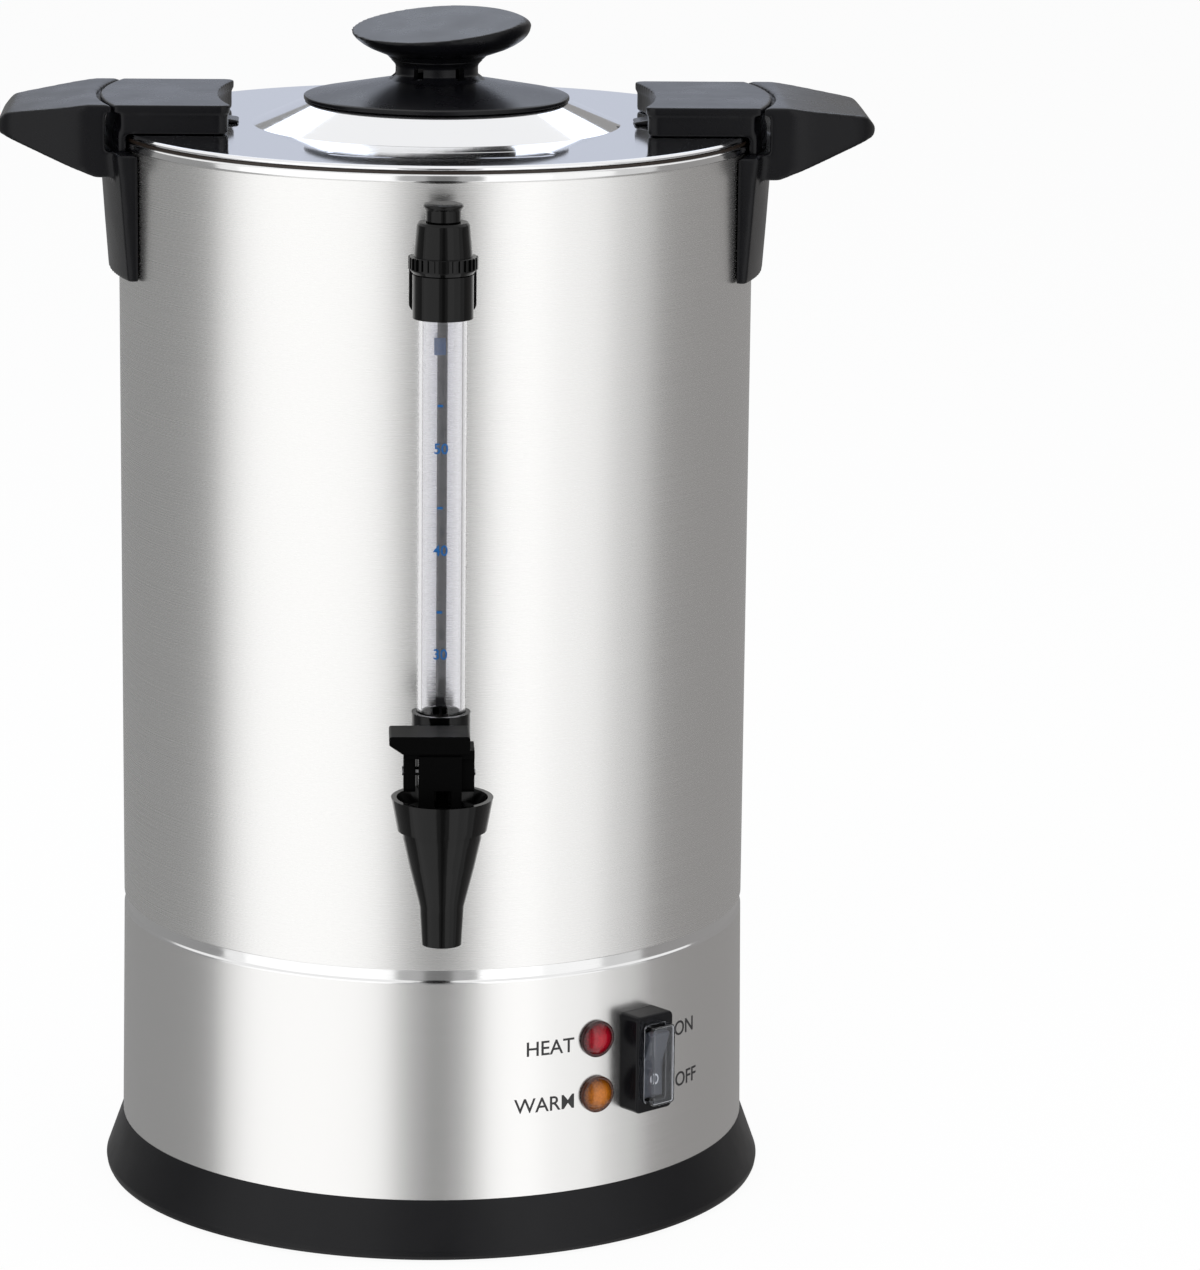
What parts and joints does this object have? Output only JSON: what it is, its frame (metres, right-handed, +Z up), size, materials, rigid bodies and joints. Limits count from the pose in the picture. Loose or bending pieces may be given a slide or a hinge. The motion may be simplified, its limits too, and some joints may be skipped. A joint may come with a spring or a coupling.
{
  "type": "percolator coffee urn",
  "caption": "Stainless percolator coffee urn with sight gauge, spring-closed tap, twist-on lid, side handles and a lift-out basket on a pump tube.",
  "frame": {"origin": "on the tank's axis, at the counter", "axes": "+Z up, the tap faces -Y, +X towards the right handle"},
  "size_m": [0.302, 0.284, 0.4178],
  "materials": {
    "stainless": "satin",
    "polished": "polished",
    "black_moulding": "satin",
    "black_gloss": "gloss",
    "clear_tube": "clear",
    "smoky_clear": "clear, slightly smoky",
    "red_jewel": "translucent",
    "amber_jewel": "translucent",
    "silicone": "matt, translucent white",
    "foot_rubber": "matt",
    "cast_alloy": "cast",
    "sheathed_steel": "dull",
    "zinc_screws": "zinc plated",
    "brass": "bare",
    "mica": "matt, flaky",
    "white_ceramic": "matt",
    "wire_sleeve": "woven"
  },
  "bodies": {
    "urn": {"tank_wall": "stainless", "tank_floor": "stainless", "skirt": "stainless", "plinth": "black_moulding", "base_cover": "black_moulding", "base_screws": "zinc_screws", "rubber_feet": "foot_rubber", "handle_right": "black_moulding", "handle_left": "black_moulding", "handle_inserts": "brass", "handle_screws": "zinc_screws", "gauge_tube": "clear_tube", "gauge_seals": "silicone", "gauge_barrel": "black_gloss", "gauge_saddle": "black_gloss", "gauge_nut": "black_gloss", "gauge_ring": "black_gloss", "gauge_cap": "black_gloss", "tap_shank": "black_gloss", "wall_washers": "silicone", "tap_nut": "black_gloss", "tap_body": "black_gloss", "tap_bonnet": "black_gloss", "tap_spring": "sheathed_steel", "heater_plate": "cast_alloy", "heater_element": "sheathed_steel", "warming_element": "mica", "heater_bracket": "sheathed_steel", "tie_rod": "sheathed_steel", "tie_nuts": "zinc_screws", "heat_shield": "sheathed_steel", "thermostats": "white_ceramic", "thermal_fuse": "brass", "terminal_block": "white_ceramic", "wiring": "wire_sleeve", "amber_lens": "amber_jewel", "red_lens": "red_jewel", "lamp_housings": "white_ceramic", "switch_body": "black_gloss", "switch_hood": "smoky_clear", "mains_inlet": "black_gloss", "inlet_pins": "brass"},
    "gauge_plug": {"gauge_plug": "black_gloss"},
    "valve": {"tap_stem": "black_gloss", "valve_cup": "silicone", "lever_pin": "sheathed_steel"},
    "lever": {"tap_lever": "black_gloss"},
    "rocker": {"switch_rocker": "black_gloss"},
    "seal": {"lid_seal": "silicone"},
    "lid": {"lid_shell": "polished", "ear_right": "black_moulding", "ear_left": "black_moulding", "ear_screws": "zinc_screws", "knob_skirt": "black_moulding", "knob_cap": "black_moulding", "knob_screw": "zinc_screws"},
    "percolator": {"basket": "polished", "pump_tube": "polished", "pump_foot": "polished", "spray_cap": "polished"}
  },
  "joints": [
    {"name": "lid_lift", "type": "slide", "parent": "urn", "child": "seal", "axis": [0, 0, 1], "range_m": [0, 0.36]},
    {"name": "lid_twist", "type": "hinge", "parent": "seal", "child": "lid", "pos_m": [0, 0, 0.3755], "axis": [0, 0, 1], "range_deg": [0, 35]},
    {"name": "basket_lift", "type": "slide", "parent": "urn", "child": "percolator", "axis": [0, 0, 1], "range_m": [0, 0.27]},
    {"name": "gauge_plug_lift", "type": "slide", "parent": "urn", "child": "gauge_plug", "axis": [0, 0, 1], "range_m": [0, 0.025]},
    {"name": "tap_valve_rise", "type": "slide", "parent": "urn", "child": "valve", "axis": [0, 0, 1], "range_m": [0, 0.0032], "deforming": ["tap_spring"]},
    {"name": "tap_lever_pull", "type": "hinge", "parent": "valve", "child": "lever", "pos_m": [0, -0.15, 0.182], "axis": [1, 0, 0], "range_deg": [0, 20], "stiffness_Nm_per_rad": 0.15, "springref_deg": -17.19},
    {"name": "rocker_press", "type": "hinge", "parent": "urn", "child": "rocker", "pos_m": [0.07136, -0.08844, 0.0639], "axis": [-0.7782, -0.628, 0], "range_deg": [0, 16]}
  ],
  "couplings": [
    {"joint": "tap_valve_rise", "follows": "tap_lever_pull", "m_per_rad": 0.0085943},
    {"joint": "basket_lift", "follows": "lid_lift", "ratio": 0.75}
  ]
}
